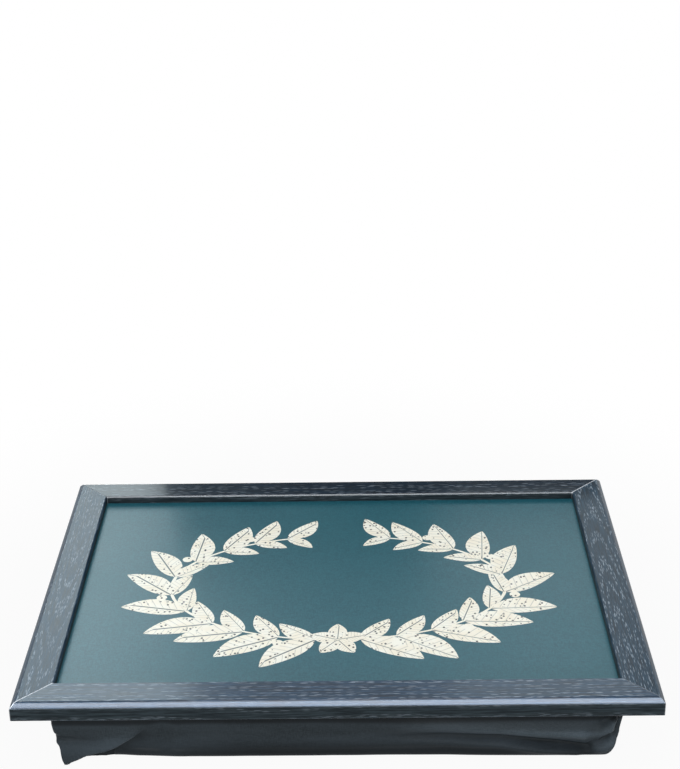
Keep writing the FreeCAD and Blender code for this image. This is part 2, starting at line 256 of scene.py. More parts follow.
soft_box("front_strip", (-0.05, -1.15, 1.47), (0, -0.17, 0.066), (2.0, 0.16), 14.2, (0.74, 0.84, 1.0))
soft_box("high_strip", (-0.1, -0.84, 1.95), (0, 0.14, 0.066), (1.9, 0.15), 15.0, (0.92, 0.97, 1.0))
soft_box("sheen_box", (-0.64, 1.6, 1.08), (-0.15, 0, 0.06), (0.60, 0.9), 8.8, PALE_BLUE)
soft_box("top_box", (0, 0.15, 2.2), (0, 0, 0.06), (0.8, 0.8), 7.2, (1.0, 0.85, 0.80))
soft_box("right_box", (0.38, 1.6, 1.05), (0.15, 0, 0.06), (0.36, 0.8), 1.6, PALE_BLUE)
soft_box("low_box", (0, -2.2, 0.42), (0, -0.15, 0.03), (3.0, 0.5), 45.0, COOL_WHITE)
for name, x, y in (("right_low", STRIP_AWAY, 0), ("left_low", -STRIP_AWAY, 0), ("back_low", 0, STRIP_AWAY)):
    soft_box(name, (x, y, STRIP_HEIGHT), (0, 0, 0.03), (2.2, 0.06), 14.0, COOL_WHITE)

# %% The dark card
CARD_BACK, CARD_BLACK = 0.32, 0.04
CARD_PARTS = [((-0.177, 0.10), (0.05, 0.270)), ((0.10, 0.26), (0.05, 0.165))]
QUARTER = math.pi / 2
flag = bmesh.new()
for span, rise in CARD_PARTS:
    spread = Matrix.Diagonal((span[1] - span[0], rise[1] - rise[0], 1, 1))
    middle = (sum(span) / 2, CARD_BACK, sum(rise) / 2)
    stand = Matrix.Translation(middle) @ Matrix.Rotation(QUARTER, 4, "X") @ spread
    bmesh.ops.create_grid(flag, x_segments=1, y_segments=1, size=0.5, matrix=stand)
dark_card = piece_from("dark_card", flag)
dark_card.visible_camera = False
dark_card.visible_diffuse = False
dark_card.visible_shadow = False
wear(dark_card, new_finish("card_black", Base_Color=level(CARD_BLACK), Roughness=0.9)[0])

# %% The camera
IMAGE_HEIGHT = 769
FOCAL_PIXELS = 1662.9
SENSOR = 36.0
EYE = Vector((0.0179, -1.1526, 0.7508))
YAW, PITCH, ROLL = (math.radians(turn) for turn in (0.6955, 24.002, -0.9107))
right = Vector((math.cos(YAW), math.sin(YAW), 0))
ahead = Vector((-math.sin(YAW) * math.cos(PITCH), math.cos(YAW) * math.cos(PITCH), -math.sin(PITCH)))
up = right.cross(ahead)
across = right * math.cos(ROLL) + up * math.sin(ROLL)
above = up * math.cos(ROLL) - right * math.sin(ROLL)
lens = bpy.data.cameras.new("camera")
lens.sensor_width = SENSOR
lens.lens = FOCAL_PIXELS * SENSOR / IMAGE_HEIGHT
camera = bpy.data.objects.new("camera", lens)
scene.collection.objects.link(camera)
turn = Matrix((across, above, -ahead)).transposed().to_4x4()
camera.matrix_world = Matrix.Translation(EYE) @ turn
scene.camera = camera
scene.view_settings.view_transform = "Standard"
print("lens", round(lens.lens, 2), "mm")

# %% [markdown]
# ## The frame's rails
# Each rail is a length of moulding: a flat top with a chamfer along both edges, a lip over the print, and a
# rebate behind it. A machine runs the moulding as one long stick and a saw cuts the mitres, so the mesh is
# made the same way: a profile drawn once, extruded, its long edges planed, then both ends sawn at 45 degrees.

# %% Extrude, plane and saw
HALF_LENGTH, HALF_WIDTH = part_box("right_rail")[1].x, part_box("back_rail")[1].y
FOOT, CREST = (corner.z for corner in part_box("front_rail"))
RAIL_WIDTH, ARRIS = 0.028, 0.00018


def extrude(shape, way):
    grown = bmesh.ops.extrude_face_region(shape, geom=list(shape.faces))
    far = [part for part in grown["geom"] if isinstance(part, bmesh.types.BMVert)]
    bmesh.ops.translate(shape, verts=far, vec=way)
    bmesh.ops.recalc_face_normals(shape, faces=shape.faces)
    return shape


def round_edges(shape, chosen, size, segments):
    bmesh.ops.bevel(shape, geom=chosen, offset=size, offset_type="OFFSET", affect="EDGES",
                    segments=segments, profile=0.5, material=-1)


def long_edges_at(shape, y, z):
    """The edges that run along the stick at one place of its profile."""
    ends = [(edge, *(vert.co for vert in edge.verts)) for edge in shape.edges]
    return [edge for edge, start, stop in ends
            if abs((start - stop).x) > RAIL_WIDTH and (start.yz - Vector((y, z))).length < ARRIS]


def saw_mitre(shape, end):
    """Cuts the end off at 45 degrees and closes the cut, with its sharp arris taken off."""
    geometry = list(shape.verts) + list(shape.edges) + list(shape.faces)
    cut = bmesh.ops.bisect_plane(shape, geom=geometry, dist=1e-7, plane_co=end,
                                 plane_no=(math.copysign(1, end[0]), 1, 0), clear_outer=True)
    rim = [part for part in cut["geom_cut"] if isinstance(part, bmesh.types.BMEdge)]
    bmesh.ops.holes_fill(shape, edges=rim, sides=0)
    round_edges(shape, [edge for edge in rim if edge.is_valid], ARRIS, 1)


# %% One moulding
REBATE_WIDTH, REBATE_HEIGHT = 0.006, 0.0075
CHAMFER, SHOULDER, CRISP = 0.0036, 0.0011, 0.0006
LIP_CHAMFER, LIP_SOFT, FOOT_ROUND = 0.0012, 0.0003, 0.0008


def make_moulding(half_run, half_out):
    shape = bmesh.new()
    outer, inner, lip = -half_out, RAIL_WIDTH - REBATE_WIDTH - half_out, RAIL_WIDTH - half_out
    shelf = FOOT + REBATE_HEIGHT
    outline = [(outer, FOOT), (outer, CREST), (lip, CREST), (lip, shelf), (inner, shelf), (inner, FOOT)]
    shape.faces.new([shape.verts.new((-half_run, y, z)) for y, z in outline])
    extrude(shape, (2 * half_run, 0, 0))
    round_edges(shape, long_edges_at(shape, outer, CREST), CHAMFER, 1)
    round_edges(shape, long_edges_at(shape, outer + CHAMFER, CREST), SHOULDER, 6)
    round_edges(shape, long_edges_at(shape, outer, CREST - CHAMFER), CRISP, 3)
    round_edges(shape, long_edges_at(shape, lip, CREST), LIP_CHAMFER, 1)
    for y, z in ((lip - LIP_CHAMFER, CREST), (lip, CREST - LIP_CHAMFER)):
        round_edges(shape, long_edges_at(shape, y, z), LIP_SOFT, 3)
    round_edges(shape, long_edges_at(shape, outer, FOOT), FOOT_ROUND, 3)
    for end in (-half_run, half_run):
        saw_mitre(shape, (end, outer, 0))
    return shape


# %% Four rails
SHARP_FROM = math.radians(32)
RAILS = {
    "front": (HALF_LENGTH, HALF_WIDTH, 0),
    "right": (HALF_WIDTH, HALF_LENGTH, QUARTER),
    "back": (HALF_LENGTH, HALF_WIDTH, 2 * QUARTER),
    "left": (HALF_WIDTH, HALF_LENGTH, 3 * QUARTER),
}
rails = {}
for side, (half_run, half_out, turned) in RAILS.items():
    stick = make_moulding(half_run, half_out)
    bmesh.ops.rotate(stick, verts=stick.verts, cent=(0, 0, 0), matrix=Matrix.Rotation(turned, 3, "Z"))
    bmesh.ops.recalc_face_normals(stick, faces=stick.faces)
    rail = piece_from(f"{side}_moulding", stick)
    rail.data.shade_smooth()
    rail.data.set_sharp_from_angle(angle=SHARP_FROM)
    rail.modifiers.new("even_light", "WEIGHTED_NORMAL").keep_sharp = True
    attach(rail, "root")
    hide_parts(f"{side}_rail")
    rails[side] = rail
    print(rail.name, len(rail.data.polygons), "faces")

# %% [markdown]
# ## Charcoal stain on open grain
# The wood has large open pores. A dark stain sinks into the face and a pale filler stays in the pores, so
# the grain reads as short light dashes in rows, where the saw met the porous early wood of each ring.
# A ring's number is worked out from the place in the stick: straight rows on the long rails, and long arches
# on the short ones, which were sawn nearer to the middle of the log. Hands have dulled the short rails' edges.
# Light and shade are painted into the colour too: painted shade on the faces that don't look up, and on those
# that do a painted light and shade tint of each rail's own, much darker on the back rail.

# %% The rows of pores
ROW_GAP, ROW_WANDER = 0.0032, 0.006
ARCH_GAP, ARCH_WANDER, ARCH_SLOPE = 0.0025, 0.004, 0.06
UNEVEN_PER_METRE, UNEVEN_SHIFT, EARLY_EDGE = 170, 1.8, (0.14, 0.30)
OPEN_PER_METRE, OPEN_START, OPEN_EDGE = 95, 7, (0.26, 0.48)


def ring_rows(along, across, wander, arch):
    """How far each point lies in porous early wood, from 0 to 1, and how open that ring's pores are."""
    if arch is None:
        reach, gap = across + wander * ROW_WANDER, ROW_GAP
    else:
        centre, side = arch
        lengthwise, crosswise = (along - centre) * ARCH_SLOPE, across - side
        reach = along.math("SQRT", lengthwise * lengthwise + crosswise * crosswise) + wander * ARCH_WANDER
        gap = ARCH_GAP
    uneven, open_ring = (reach.add("ShaderNodeTexNoise", {"noise_dimensions": "1D"}, {"W": at, "Scale": 1.0})
                         for at in (reach * UNEVEN_PER_METRE, reach * OPEN_PER_METRE + OPEN_START))
    early = 1 - reach.math("PINGPONG", reach / gap + uneven * UNEVEN_SHIFT, 0.5).ease(*EARLY_EDGE)
    return early, open_ring.ease(*OPEN_EDGE)


# %% The filled mitres
SEAM_HALF = (0.00030, 0.00080)
PALE_SEAM, SHUT_SEAM, CRUMB_LEAST = 0.8, 0.12, 0.4


def mitre_seam(place, top, crumbs):
    """The line of filler in each mitre. It is pale in two of the corners and nearly shut in the others."""
    x, y = place.axes()[:2]
    off = abs((HALF_LENGTH - abs(x)) - (HALF_WIDTH - abs(y)))
    pale_corner = (x * y > 0) * crumbs.lift(CRUMB_LEAST) * top
    return (1 - off.ease(*SEAM_HALF)) * (pale_corner * PALE_SEAM + SHUT_SEAM)


# %% The stained wood
# Each pattern has a length along the grain and a width across it.
WANDER, STREAK, PATCH, CRUMB = (0.11, 0.02), (0.022, 0.0007), (0.12, 0.03), (0.002, 0.002)
SAW_SLANT = 0.6
EMPTY_SHARE, PORE_EDGE = 0.10, (0.24, 0.46)
LATE_PORES, SHUT_PORES, EDGE_PORES = 0.08, 0.2, 0.2
PATCH_SHARE, EARLY_SHARE = 0.3, 0.3
STREAK_DARK, STREAK_PALE = (0.001, 0.007, 0.015, 1), (0.023, 0.053, 0.086, 1)
PATCH_STAIN, EARLY_STAIN = (0.009, 0.023, 0.039, 1), (0.030, 0.060, 0.092, 1)
# Painted shade: faces that don't look up are darkened and warmed by this tint.
SIDE_PAINTED_SHADE = (0.80, 0.51, 0.36, 1)
PORE_FILLER, SEAM_FILLER = (0.49, 0.56, 0.63, 1), (0.80, 0.82, 0.84, 1)


def stain_rail(name, turned, seed, arch, pore, filler, polished, painted_light_tint):
    """One rail's finish. The seed shifts its pattern; the tint paints light and shade on faces looking up."""
    finish, place, shader = new_finish(name, Specular_IOR_Level=0.12, Coat_Roughness=0.14)
    stick = place.add("ShaderNodeMapping", {}, {"Vector": place, "Rotation": (0, 0, turned)})
    along, sideways, upward = stick.axes()
    across = sideways + upward * SAW_SLANT

    def grain(run, girth):
        return stick.stretch((1 / run, 1 / girth, 1 / girth), (seed, seed * 0.7, seed))

    early, open_ring = ring_rows(along, across, grain(*WANDER).noise() - 0.5, arch)
    dash = grain(*pore).cells()
    chance = dash.add("ShaderNodeSeparateColor", {}, {0: dash.out("Color")})
    filled = (chance > EMPTY_SHARE) * (1 - dash.ease(*PORE_EDGE)) * early.lift(LATE_PORES)
    pores = filled * open_ring.lift(SHUT_PORES)
    streak = grain(*STREAK).noise(3.0).ease(0.36, 0.64)
    patch = grain(*PATCH).noise().ease(0.3, 0.7)
    crumbs = grain(*CRUMB).noise().ease(0.30, 0.55)

    facing = place.add("ShaderNodeNewGeometry", out="True Normal")
    rise = abs(facing.axes()[2])
    top, flat = rise.ease(0.15, 0.75), rise.ease(0.80, 0.98)
    stain = streak.tint(STREAK_DARK, STREAK_PALE)
    stain = (patch * PATCH_SHARE).tint(stain, PATCH_STAIN)
    stain = (early * EARLY_SHARE).tint(stain, EARLY_STAIN)
    # Painted light and shade: a dark tint on faces that don't look up, each rail's own tint on those that do.
    stain = place.add("ShaderNodeMix", {"data_type": "RGBA", "blend_type": "MULTIPLY"},
                      {0: 1.0, 6: stain, 7: top.tint(SIDE_PAINTED_SHADE, painted_light_tint)}, out=2)
    limed = (pores * filler * flat.lift(EDGE_PORES)).tint(stain, PORE_FILLER)
    colour = mitre_seam(place, top, crumbs).tint(limed, SEAM_FILLER)

    face_polish, edge_polish = polished
    polish = top * (flat * (face_polish - edge_polish) + edge_polish) + 0.03
    feed(shader, Base_Color=colour, Roughness=0.40 + streak * 0.1 + pores * 0.2, Coat_Weight=polish,
         Normal=(streak * 0.25 - filled).bump(0.5, 0.0002))
    return finish


# %% Four cuts of wood
# An arch is given by its middle along the stick and across it. The polish is that of the face and the edges.
# The last tint is each rail's painted light and shade on its faces that look up; the back rail's is much
# darker.
LONG_PORE, SHORT_PORE = (0.0085, 0.0007), (0.0070, 0.0006)
HEART = HALF_LENGTH - 0.017
SLANT_AT_TOP = CREST * SAW_SLANT
CUTS = {
    "front": dict(turned=0, seed=1.3, arch=None, pore=LONG_PORE, filler=0.52,
                  polished=(0.40, 0.95), painted_light_tint=(0.77, 1.02, 1.19, 1)),
    "right": dict(turned=QUARTER, seed=7.9, arch=(0.14, HEART + SLANT_AT_TOP), pore=SHORT_PORE, filler=0.62,
                  polished=(0.16, 0.20), painted_light_tint=(0.82, 0.94, 0.95, 1)),
    "back": dict(turned=0, seed=5.1, arch=None, pore=LONG_PORE, filler=0.48,
                 polished=(0.40, 0.78), painted_light_tint=(0.10, 0.26, 0.34, 1)),
    "left": dict(turned=QUARTER, seed=3.7, arch=(-0.12, SLANT_AT_TOP - HEART), pore=SHORT_PORE, filler=0.62,
                 polished=(0.25, 0.10), painted_light_tint=(0.87, 1.0, 1.06, 1)),
}
for side, cut in CUTS.items():
    # Each rail's material holds its stain and its painted light and shade.
    wear(rails[side], stain_rail(f"{side}_stain", **cut))

# %% [markdown]
# ## The sealed print
# The panel is a print on a canvas-grained paper, sealed with a clear satin lacquer and glued to a board.
# Its solid is already the right shape, so it only needs its colour, a faint canvas tooth and the lacquer.

# %% The print's ground
CANVAS_THREADS = ((330, 1250, 900), (1250, 330, 900))
TOOTH = (0.35, 0.00008)
LACQUER = 0.42
INK_DARK, INK_PALE = (0.0060, 0.066, 0.088, 1), (0.0155, 0.1075, 0.1375, 1)
INK_CLOUD, CLOUD_SHARE = (0.0115, 0.096, 0.120, 1), 0.35


def canvas_tooth(place):
    weft, warp = (place.stretch(threads).noise() for threads in CANVAS_THREADS)
    return weft + warp


def seal_ground():
    finish, place, shader = new_finish("sealed_teal", Specular_IOR_Level=LACQUER)
    tooth = canvas_tooth(place)
    cloud = place.stretch((14, 14, 14)).noise(3.0)
    ink = tooth.ease(0.7, 1.3).tint(INK_DARK, INK_PALE)
    ink = (cloud.ease(0.3, 0.7) * CLOUD_SHARE).tint(ink, INK_CLOUD)
    feed(shader, Base_Color=ink, Roughness=cloud * 0.06 + 0.36, Normal=tooth.bump(*TOOTH))
    return finish


wear(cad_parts["printed_sheet"], seal_ground())

# %% [markdown]
# ## The printed wreath
# The middle of the print carries cream leaves with small dark flecks. A printer lays the cream on as a film
# of ink, so each leaf is a film a twentieth of a millimetre thick: a circle pulled to a leaf's outline and
# extruded. The leaves sit along two stems that are made by spinning a short edge and squeezing the ring.

# %% A film of ink
INK_FILM = (0, 0, 0.00005)
PRINT_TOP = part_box("printed_sheet")[1].z


def lay_down(wreath, shape, place):
    mesh = bpy.data.meshes.new("film")
    shape.to_mesh(mesh)
    shape.free()
    start = len(wreath.verts)
    wreath.from_mesh(mesh)
    bpy.data.meshes.remove(mesh)
    wreath.verts.ensure_lookup_table()
    bmesh.ops.transform(wreath, matrix=place, verts=wreath.verts[start:])


# %% Leaves and berries
# Each film has marks that tell the finish how far along and across the leaf a point lies.
LEAF_SEGMENTS, BERRY_SEGMENTS = 28, 20
LEAF_BLUNT, LEAF_TAPER = 0.32, 0.22
MARKS_APART = 4
BERRY = 0.0042


def ink_leaf(number, length, width, curl):
    shape = bmesh.new()
    bmesh.ops.create_circle(shape, cap_ends=True, segments=LEAF_SEGMENTS, radius=1.0)
    marks = shape.loops.layers.uv.new("leaf")
    for face in shape.faces:
        for loop in face.loops:
            loop[marks].uv = (loop.vert.co.x * 0.5 + 0.5 + MARKS_APART * number, loop.vert.co.y)
    for vert in shape.verts:
        x, y = vert.co.xy
        slim = y * max(0.0, 1 - x * x) ** LEAF_BLUNT * (1 - LEAF_TAPER * x)
        vert.co = (x * length / 2, slim * width / 2 + curl * length * (x * x - 1), 0)
    return extrude(shape, INK_FILM)


def ink_berry(number):
    shape = bmesh.new()
    bmesh.ops.create_circle(shape, cap_ends=True, segments=BERRY_SEGMENTS, radius=BERRY)
    marks = shape.loops.layers.uv.new("leaf")
    for loop in shape.faces[:][0].loops:
        loop[marks].uv = (MARKS_APART * number, 0.5)
    return extrude(shape, INK_FILM)


# %% Even places along a branch
RING_X, RING_Y = 0.134, 0.080
FIRST_TURN, LAST_TURN = math.radians(7), math.radians(161)
TURN_STEPS = 600


def even_turns(count):
    """Turns that set the leaf pairs evenly along a branch: equal turns would bunch up on an oval."""
    fine = [FIRST_TURN + (LAST_TURN - FIRST_TURN) * step / TURN_STEPS for step in range(TURN_STEPS + 1)]
    gone = [0.0]
    for turn, after in zip(fine, fine[1:]):
        step_x = RING_X * (math.sin(after) - math.sin(turn))
        step_y = RING_Y * (math.cos(after) - math.cos(turn))
        gone.append(gone[-1] + math.hypot(step_x, step_y))
    wanted = [gone[-1] * share / (count - 1) for share in range(count)]
    return [fine[min(range(TURN_STEPS + 1), key=lambda at: abs(gone[at] - length))] for length in wanted]


# %% The two branches
LEAF_PAIRS = 11
LEAF_LENGTH, LEAF_WIDTH, LEAF_CURL = 0.054, 0.023, 0.08
LEAF_ROOT, INNER_LEAF, TIP_SHRINK = 0.53, 0.66, 0.28
LEAN, LEAN_SWAY, SWAY_STEP = 40, 7, 2.1
BERRY_TURN, BERRY_AWAY = math.radians(96), 0.0085
PETALS = 5
PETAL_LENGTH, PETAL_WIDTH, PETAL_AWAY = 0.021, 0.0145, 0.0115


def beside(turned, away):
    return Matrix.Rotation(turned, 4, "Z") @ Matrix.Translation((away, 0, 0))


films = []
for branch in (-1, 1):
    for pair, turn in enumerate(even_turns(LEAF_PAIRS)):
        spot = Matrix.Translation((branch * RING_X * math.sin(turn), -RING_Y * math.cos(turn), 0))
        run = math.atan2(RING_Y * math.sin(turn), branch * RING_X * math.cos(turn))
        grown = 1.0 - TIP_SHRINK * (pair / (LEAF_PAIRS - 1)) ** 2
        for hand in (-1, 1):
            size = grown * (INNER_LEAF if hand == branch else 1.0)
            lean = run + hand * math.radians(LEAN + LEAN_SWAY * math.sin(SWAY_STEP * pair + hand))
            leaf = (LEAF_LENGTH * size, LEAF_WIDTH * size, LEAF_CURL * hand)
            films.append((ink_leaf, leaf, spot @ beside(lean, LEAF_LENGTH * size * LEAF_ROOT)))
        if pair % 2:
            films.append((ink_berry, (), spot @ beside(run - branch * BERRY_TURN, BERRY_AWAY)))
for petal in range(PETALS):
    place = Matrix.Translation((0, -RING_Y, 0)) @ beside(QUARTER + math.tau * petal / PETALS, PETAL_AWAY)
    films.append((ink_leaf, (PETAL_LENGTH, PETAL_WIDTH, 0), place))
print(len(films), "leaves, berries and petals")

# %% Print them
# Each film lies a little higher than the last, so that no two faces share a level.
LAYER, STEM = 0.0000012, 0.0016
STEM_TURN, STEM_STEPS = math.radians(166), 48
wreath = bmesh.new()
wreath.loops.layers.uv.new("leaf")
for number, (ink_film, sizes, place) in enumerate(films, 1):
    lift = Matrix.Translation((0, 0, PRINT_TOP + number * LAYER))
    lay_down(wreath, ink_film(number, *sizes), lift @ place)
for branch in (-1, 1):
    stem = bmesh.new()
    ends = [stem.verts.new((0, -1 - side * STEM / 2 / RING_Y, 0)) for side in (-1, 1)]
    edge = stem.edges.new(ends)
    bmesh.ops.spin(stem, geom=[edge, *ends], cent=(0, 0, 0), axis=(0, 0, 1), dvec=(0, 0, 0),
                   angle=branch * STEM_TURN, steps=STEM_STEPS, use_merge=False, use_duplicate=False)
    stem.loops.layers.uv.new("leaf")
    squeeze = Matrix.Translation((0, 0, PRINT_TOP)) @ Matrix.Diagonal((RING_X, RING_Y, 1, 1))
    lay_down(wreath, extrude(stem, INK_FILM), squeeze)
bmesh.ops.recalc_face_normals(wreath, faces=wreath.faces)
film = piece_from("printed_wreath", wreath)
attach(film, "root")
print(film.name, len(film.data.polygons), "faces")

# %% The cream ink
CREAM_WARM, CREAM_PALE = (0.95, 0.870, 0.700, 1), (0.98, 0.940, 0.81, 1)
RIB_INK, FLECK_INK = (0.10, 0.13, 0.13, 1), (0.045, 0.042, 0.045, 1)
VEINS, VEIN_SLANT, VEIN_INK = 9, 1.3, 0.35
FLECKS = (290, 240, 1)


def cream_ink():
    finish, place, shader = new_finish("cream_ink", Specular_IOR_Level=LACQUER)
    leaf = place.add("ShaderNodeUVMap", {"uv_map": "leaf"})
    along, sideways = leaf.axes()[:2]
    across = abs(sideways)
    rib = (1 - across.ease(0.03, 0.075)) * (across > 0.0001)
    veins = place.math("PINGPONG", along * VEINS - across * VEIN_SLANT, 0.5)
    vein = (1 - veins.ease(0.03, 0.10)) * across.ease(0.05, 0.2) * VEIN_INK
    dots = place.stretch(FLECKS).cells()
    fleck = (1 - dots.ease(0.20, 0.30)) * across.ease(0.1, 0.2) * (1 - across.ease(0.8, 0.95))
    shade = place.stretch((90, 90, 90)).noise(3.0).ease(0.3, 0.7)
    cream = shade.tint(CREAM_WARM, CREAM_PALE)
    cream = place.math("MAXIMUM", rib, vein).tint(cream, RIB_INK)
    cream = fleck.tint(cream, FLECK_INK)
    feed(shader, Base_Color=cream, Roughness=shade * 0.05 + 0.41,
         Normal=canvas_tooth(place).bump(*TOOTH))
    return finish


wear(film, cream_ink())

# %% [markdown]
# ## Behind the print
# Hardboard, bright steel points, staples and V-nails are hidden in the finished tray, but a learner who
# lifts the print off should find them right: pressed brown fibre with a smooth face, and drawn steel wire.

# %% Hardboard and steel
def pressed_fibre():
    finish, place, shader = new_finish("pressed_fibre", Specular_IOR_Level=0.3)
    fibre = place.stretch((420, 420, 420)).noise(5.0, rough=0.7)
    brown = fibre.ease(0.3, 0.7).tint((0.17, 0.095, 0.05, 1), (0.34, 0.21, 0.12, 1))
    feed(shader, Base_Color=brown, Roughness=fibre * 0.3 + 0.5, Normal=fibre.bump(0.4, 0.0001))
    return finish


def drawn_steel():
    finish, place, shader = new_finish("drawn_steel", Metallic=1.0)
    lines = place.stretch((900, 900, 5000)).noise(3.0)
    grey = lines.ease(0.3, 0.7).tint((0.48, 0.48, 0.48, 1), (0.68, 0.68, 0.67, 1))
    feed(shader, Base_Color=grey, Roughness=lines * 0.25 + 0.2)
    return finish


steel = drawn_steel()
wear(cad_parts["tray_board"], pressed_fibre())
for hidden in ("corner_v_nails", "board_points", "hem_staples"):
    wear(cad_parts[hidden], steel)

# %% [markdown]
# ## The cushion
# One cloth bag, its hem tucked into the rebate and stapled there, its inside half full of loose beads. It is
# cut with more cloth than it needs, most of all at the corners, so it falls in soft slanting folds, and one
# corner hangs straight down to a pointed ear. A slack like this is hard to draw and easy to let happen:
# a plain form is filled with a little air and its cloth made too large, and a cloth simulation finds it.

# %% The cushion's plain form
HEM_CLEAR = 0.0003
HEM_X, HEM_Y, COVER_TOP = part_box("cushion_cover")[1]
HEM_TOP = COVER_TOP - HEM_CLEAR
BASE = 0.0016
CORNER_ROUND, BASE_ROUND = 0.006, 0.007
VOXEL = 0.0045
form = bmesh.new()
block = Matrix.Diagonal((2 * HEM_X, 2 * HEM_Y, HEM_TOP - BASE, 1))
bmesh.ops.create_cube(form, size=1.0, matrix=Matrix.Translation((0, 0, (HEM_TOP + BASE) / 2)) @ block)
upright = [edge for edge in form.edges if abs(edge.verts[0].co.z - edge.verts[1].co.z) > BASE]
round_edges(form, upright, CORNER_ROUND, 2)
below = [edge for edge in form.edges if max(vert.co.z for vert in edge.verts) < 2 * BASE]
round_edges(form, below, BASE_ROUND, 3)
cushion = piece_from("bead_cushion", form)


def apply_modifiers(piece):
    made = bpy.data.meshes.new_from_object(piece.evaluated_get(bpy.context.evaluated_depsgraph_get()))
    piece.modifiers.clear()
    piece.data = made


even = cushion.modifiers.new("even_mesh", "REMESH")
even.mode, even.voxel_size = "VOXEL", VOXEL
apply_modifiers(cushion)
print("plain form of", len(cushion.data.vertices), "points")

# %% Points and shares
def read_points(mesh, what="co"):
    values = np.zeros(3 * len(mesh.vertices))
    mesh.vertices.foreach_get(what, values)
    return values.reshape(-1, 3)


def write_points(mesh, points):
    mesh.vertices.foreach_set("co", points.astype(np.float32).ravel())
    mesh.update()


def ease(share):
    share = np.clip(share, 0, 1)
    return share * share * (3 - 2 * share)


def ramp(value, start, run):
    """0 before the start, 1 when the run is over, and a smooth rise between them."""
    return ease((value - start) / run)


def nearness(points, spot, reach, most=1.0):
    """How near each point is to a spot, falling evenly to 0."""
    return np.clip(most - np.linalg.norm(points - spot, axis=1) / reach, 0, 1)


# %% Draw the sides in and let one corner hang
SIDE_DRAW, FRONT_DRAW, DRAW_HEIGHT = 0.0050, 0.0016, 0.05
EAR_TIP = np.array((-0.2015, -0.1500, 0.0005))
EAR_ROOT = np.array((-0.1977, -0.1423, 0.003))
FRONT_FOLD = ((-0.2015, -0.1838, -0.1763, -0.1482, -0.130), (0.0, 0.0066, 0.0086, 0.0246, 0.040))
SIDE_FOLD = ((-0.1475, -0.118, -0.09), (0.0, 0.022, 0.040))
FRONT_BAND, FRONT_FROM, FRONT_EDGE = -0.118, (-0.118, -0.05), (-0.002, 0.004)
SIDE_BAND, SIDE_FROM, SIDE_EDGE = -0.18, (-0.092, -0.04), (-0.006, 0.006)
OUTWARD = (-0.3, -0.5)
FRONT_BULGE, SIDE_BULGE, SIDE_TAPER = 0.0012, 0.0017, 0.0107
ROOT_REACH, TIP_HOLD, TIP_HOLD_REACH = 0.013, 1.2, 0.02
FLAP_HOLD, BASE_HOLD = 0.55, 0.5
LOWEST_SLACK = 0.0004


def hang_corner(points, facing):
    """Pulls the front left corner straight down to the ear, and returns how firmly each point is held."""
    x, y, z = points.T
    drop = np.clip((FOOT - z) / FOOT, 0, 1)
    front = (y < FRONT_BAND) * ramp(x, *FRONT_FROM) * ramp(z - np.interp(x, *FRONT_FOLD), *FRONT_EDGE)
    side = (x < SIDE_BAND) * ramp(y, *SIDE_FROM) * ramp(z - np.interp(y, *SIDE_FOLD), *SIDE_EDGE)
    front *= ramp(facing[:, 1], *OUTWARD)
    side *= ramp(facing[:, 0], *OUTWARD)
    moved = points.copy()
    moved[:, 1] += front * (-HEM_Y - FRONT_BULGE * drop - y)
    moved[:, 0] += side * (-HEM_X - SIDE_BULGE * ease(drop * 9) + SIDE_TAPER * drop ** 1.3 - x)
    moved += nearness(moved, EAR_ROOT, ROOT_REACH)[:, None] * (EAR_TIP - EAR_ROOT)
    tip = nearness(moved, EAR_TIP, TIP_HOLD_REACH, most=TIP_HOLD)
    return moved, np.maximum(tip, FLAP_HOLD * np.maximum(front, side))


slack = read_points(cushion.data)
lower = ramp(slack[:, 2], FOOT, -DRAW_HEIGHT)
slack[:, 0] *= 1 - SIDE_DRAW * lower / HEM_X
slack[:, 1] *= 1 - FRONT_DRAW * lower / HEM_Y
slack, held = hang_corner(slack, read_points(cushion.data, "normal"))
slack[:, 2] = np.maximum(slack[:, 2], LOWEST_SLACK)
write_points(cushion.data, slack)
flat_base = (read_points(cushion.data, "normal")[:, 2] < -0.7) * BASE_HOLD
held = np.maximum(held, flat_base)
print("drawn in by", SIDE_DRAW, "and", FRONT_DRAW, "m at the floor")

# %% Tuck the hem
TUCKED_ABOVE = FOOT - 0.001
GATHER_REACH = 0.07
tucked = cushion.vertex_groups.new(name="tucked")
gathered = cushion.vertex_groups.new(name="gathered")
for number, (x, y, z) in enumerate(slack):
    hold = 1.0 if z > TUCKED_ABOVE else float(held[number])
    if hold > 0:
        tucked.add([number], hold, "REPLACE")
    corner = math.hypot(HEM_X - abs(x), HEM_Y - abs(y))
    gathered.add([number], max(0.0, 1 - corner / GATHER_REACH), "REPLACE")
print("tucked in above", round(TUCKED_ABOVE, 4), "m")

# %% Let the cloth fall
FRAMES = 30
TABLE_SIZE, TABLE_DROP = 1.0, 0.0026
CLOTH_GAP = 0.0015


